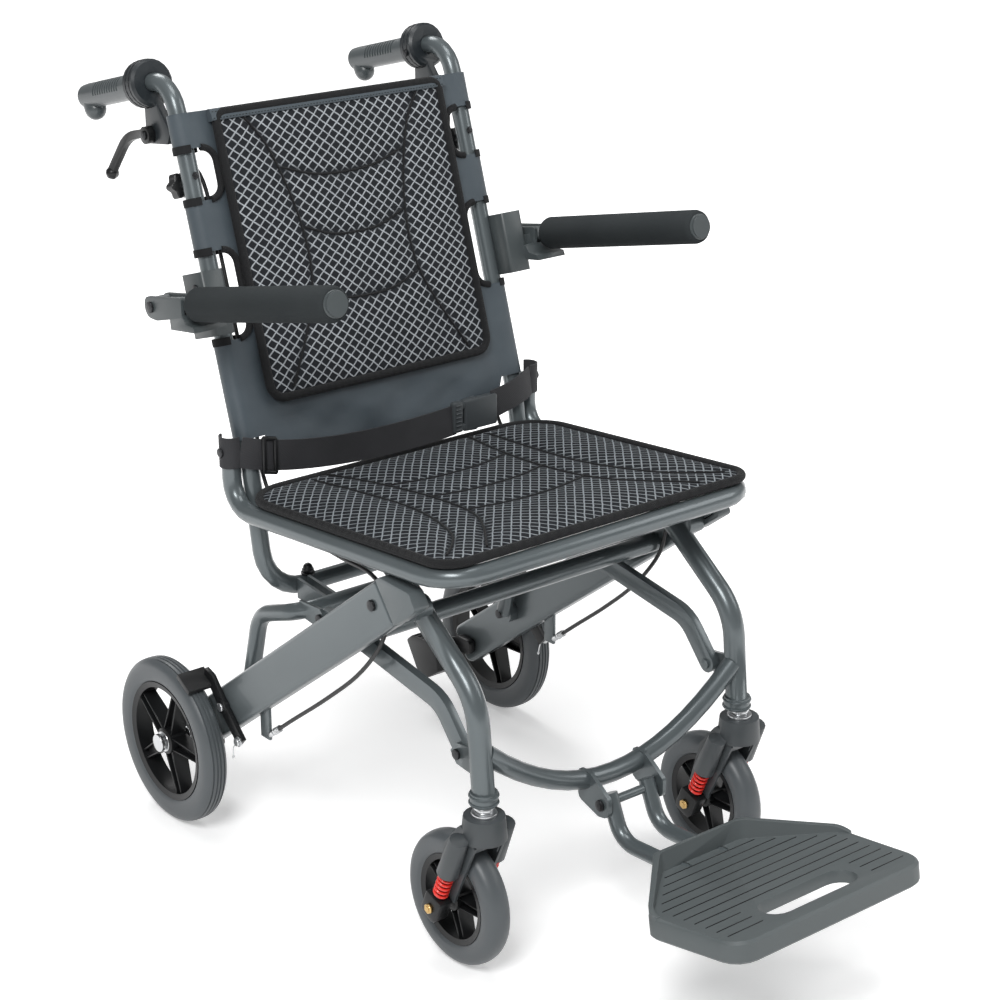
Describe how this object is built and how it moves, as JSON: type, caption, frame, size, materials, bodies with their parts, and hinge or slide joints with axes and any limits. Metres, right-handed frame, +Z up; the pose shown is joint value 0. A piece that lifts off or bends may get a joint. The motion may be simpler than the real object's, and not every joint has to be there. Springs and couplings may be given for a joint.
{
  "type": "transport wheelchair",
  "caption": "Folding transport wheelchair with a padded seat and back, flip-up armrests, push handles with brake levers, small rear wheels, sprung casters and a fold-up footplate.",
  "frame": {"origin": "middle of the chair's footprint, on the floor", "axes": "+X to the user's left, -Y the way the user faces, +Z up"},
  "size_m": [0.54, 1.0616, 0.8993],
  "materials": {
    "frame_paint": "satin gunmetal powder coat",
    "black_plastic": "fine-grained black moulding",
    "grey_plastic": "dark grey moulding",
    "tyre_rubber": "dull mid-grey solid tyre",
    "foam_black": "matte closed-cell foam",
    "zinc": "bright zinc",
    "spring_red": "gloss red lacquer",
    "nylon": "slate nylon cloth",
    "net_fabric": "grey and black spacer net",
    "webbing": "ribbed black webbing"
  },
  "bodies": {
    "chassis": {"seat_frame": "frame_paint", "seat_cushion": "net_fabric", "front_leg_right": "frame_paint", "front_leg_left": "frame_paint", "lower_cross_bar": "frame_paint", "seat_belt_right": "webbing", "seat_belt_left": "webbing", "belt_buckle": "black_plastic", "brake_cable_right": "black_plastic", "brake_cable_left": "black_plastic"},
    "rear_legs": {"rear_leg_right": "frame_paint", "rear_leg_left": "frame_paint", "rear_leg_cap_right": "grey_plastic", "rear_leg_cap_left": "grey_plastic", "rear_cross_tube": "frame_paint", "rear_axle_right": "zinc", "rear_axle_left": "zinc", "tip_pedal_right": "black_plastic", "tip_pedal_left": "black_plastic"},
    "loop": {"rear_loop": "frame_paint"},
    "braces": {"brace_right": "frame_paint", "brace_left": "frame_paint"},
    "back": {"back_frame": "frame_paint", "back_sling": "nylon", "back_pad": "net_fabric", "arm_bracket_right": "grey_plastic", "arm_bracket_left": "grey_plastic", "hand_grip_right": "black_plastic", "hand_grip_left": "black_plastic", "brake_housing_right": "black_plastic", "brake_housing_left": "black_plastic"},
    "footrest": {"footrest_tubes": "frame_paint", "footplate": "black_plastic"},
    "rear_wheel_right": {"rear_tyre_right": "tyre_rubber", "rear_hub_right": "black_plastic"},
    "brake_arm_right": {"brake_arm_right": "black_plastic"},
    "caster_right": {"caster_fork_right": "grey_plastic"},
    "caster_carriage_right": {"caster_axle_right": "black_plastic", "caster_spring_inner_right": "spring_red", "caster_spring_outer_right": "spring_red"},
    "caster_wheel_right": {"caster_tyre_right": "tyre_rubber", "caster_hub_right": "black_plastic"},
    "armrest_right": {"arm_tube_right": "grey_plastic", "arm_foam_right": "foam_black"},
    "brake_lever_right": {"brake_lever_right": "black_plastic"},
    "star_knob_right": {"star_knob_right": "black_plastic"},
    "rear_wheel_left": {"rear_tyre_left": "tyre_rubber", "rear_hub_left": "black_plastic"},
    "brake_arm_left": {"brake_arm_left": "black_plastic"},
    "caster_left": {"caster_fork_left": "grey_plastic"},
    "caster_carriage_left": {"caster_axle_left": "black_plastic", "caster_spring_inner_left": "spring_red", "caster_spring_outer_left": "spring_red"},
    "caster_wheel_left": {"caster_tyre_left": "tyre_rubber", "caster_hub_left": "black_plastic"},
    "armrest_left": {"arm_tube_left": "grey_plastic", "arm_foam_left": "foam_black"},
    "brake_lever_left": {"brake_lever_left": "black_plastic"},
    "star_knob_left": {"star_knob_left": "black_plastic"}
  },
  "joints": [
    {"name": "back_fold", "type": "hinge", "parent": "chassis", "child": "back", "pos_m": [0, 0.21, 0.468], "axis": [1, 0, 0], "range_deg": [0, 88], "deforming": ["brake_cable_right", "brake_cable_left", "seat_belt_right", "seat_belt_left", "belt_buckle"]},
    {"name": "rear_leg_fold", "type": "hinge", "parent": "chassis", "child": "rear_legs", "pos_m": [0, -0.101, 0.396], "axis": [1, 0, 0], "range_deg": [-45, 0], "deforming": ["brake_cable_right", "brake_cable_left"]},
    {"name": "loop_pivot", "type": "hinge", "parent": "rear_legs", "child": "loop", "pos_m": [0, 0.231, 0.174], "axis": [1, 0, 0], "range_deg": [-33.5, 0]},
    {"name": "brace_pivot", "type": "hinge", "parent": "chassis", "child": "braces", "pos_m": [0, -0.157, 0.246], "axis": [1, 0, 0], "range_deg": [-32.9, 0]},
    {"name": "footrest_fold", "type": "hinge", "parent": "chassis", "child": "footrest", "pos_m": [0, -0.221, 0.163], "axis": [1, 0, 0], "range_deg": [-80, 0]},
    {"name": "armrest_flip_right", "type": "hinge", "parent": "back", "child": "armrest_right", "pos_m": [-0.25, 0.289, 0.646], "axis": [1, 0, 0], "range_deg": [-90, 0]},
    {"name": "rear_wheel_spin_right", "type": "hinge", "parent": "rear_legs", "child": "rear_wheel_right", "pos_m": [-0.248, 0.317, 0.1015], "axis": [1, 0, 0], "continuous": true},
    {"name": "caster_swivel_right", "type": "hinge", "parent": "chassis", "child": "caster_right", "pos_m": [-0.186, -0.2, 0.2], "axis": [0, 0, 1], "continuous": true},
    {"name": "caster_suspension_right", "type": "slide", "parent": "caster_right", "child": "caster_carriage_right", "axis": [0, -0.3907, 0.9205], "range_m": [0, 0.008], "stiffness_N_per_m": 12000, "springref_m": -0.004, "deforming": ["caster_spring_inner_right", "caster_spring_outer_right"]},
    {"name": "caster_spin_right", "type": "hinge", "parent": "caster_carriage_right", "child": "caster_wheel_right", "pos_m": [-0.186, -0.157, 0.076], "axis": [1, 0, 0], "continuous": true},
    {"name": "brake_lever_right_squeeze", "type": "hinge", "parent": "back", "child": "brake_lever_right", "pos_m": [-0.1935, 0.38337, 0.81439], "axis": [1, 0, 0], "range_deg": [0, 22], "stiffness_Nm_per_rad": 0.8, "springref_deg": -5.73},
    {"name": "brake_arm_right_press", "type": "hinge", "parent": "rear_legs", "child": "brake_arm_right", "pos_m": [-0.228, 0.231, 0.17001], "axis": [1, 0, 0], "range_deg": [-2.05, 0]},
    {"name": "star_knob_right_turn", "type": "hinge", "parent": "back", "child": "star_knob_right", "pos_m": [-0.1935, 0.30548, 0.77268], "axis": [0, -0.9542, 0.299], "range_deg": [-90, 90]},
    {"name": "armrest_flip_left", "type": "hinge", "parent": "back", "child": "armrest_left", "pos_m": [0.25, 0.289, 0.646], "axis": [1, 0, 0], "range_deg": [-90, 0]},
    {"name": "rear_wheel_spin_left", "type": "hinge", "parent": "rear_legs", "child": "rear_wheel_left", "pos_m": [0.248, 0.317, 0.1015], "axis": [1, 0, 0], "continuous": true},
    {"name": "caster_swivel_left", "type": "hinge", "parent": "chassis", "child": "caster_left", "pos_m": [0.186, -0.2, 0.2], "axis": [0, 0, 1], "continuous": true},
    {"name": "caster_suspension_left", "type": "slide", "parent": "caster_left", "child": "caster_carriage_left", "axis": [0, -0.3907, 0.9205], "range_m": [0, 0.008], "stiffness_N_per_m": 12000, "springref_m": -0.004, "deforming": ["caster_spring_inner_left", "caster_spring_outer_left"]},
    {"name": "caster_spin_left", "type": "hinge", "parent": "caster_carriage_left", "child": "caster_wheel_left", "pos_m": [0.186, -0.157, 0.076], "axis": [1, 0, 0], "continuous": true},
    {"name": "brake_lever_left_squeeze", "type": "hinge", "parent": "back", "child": "brake_lever_left", "pos_m": [0.1935, 0.38337, 0.81439], "axis": [1, 0, 0], "range_deg": [0, 22], "stiffness_Nm_per_rad": 0.8, "springref_deg": -5.73},
    {"name": "brake_arm_left_press", "type": "hinge", "parent": "rear_legs", "child": "brake_arm_left", "pos_m": [0.228, 0.231, 0.17001], "axis": [1, 0, 0], "range_deg": [-2.05, 0]},
    {"name": "star_knob_left_turn", "type": "hinge", "parent": "back", "child": "star_knob_left", "pos_m": [0.1935, 0.30548, 0.77268], "axis": [0, -0.9542, 0.299], "range_deg": [-90, 90]}
  ],
  "couplings": [
    {"joint": "loop_pivot", "follows": "rear_leg_fold", "ratio": 0.7428},
    {"joint": "brace_pivot", "follows": "rear_leg_fold", "ratio": 0.7294},
    {"joint": "brake_arm_right_press", "follows": "brake_lever_right_squeeze", "ratio": -0.09091},
    {"joint": "brake_arm_left_press", "follows": "brake_lever_left_squeeze", "ratio": -0.09091}
  ]
}
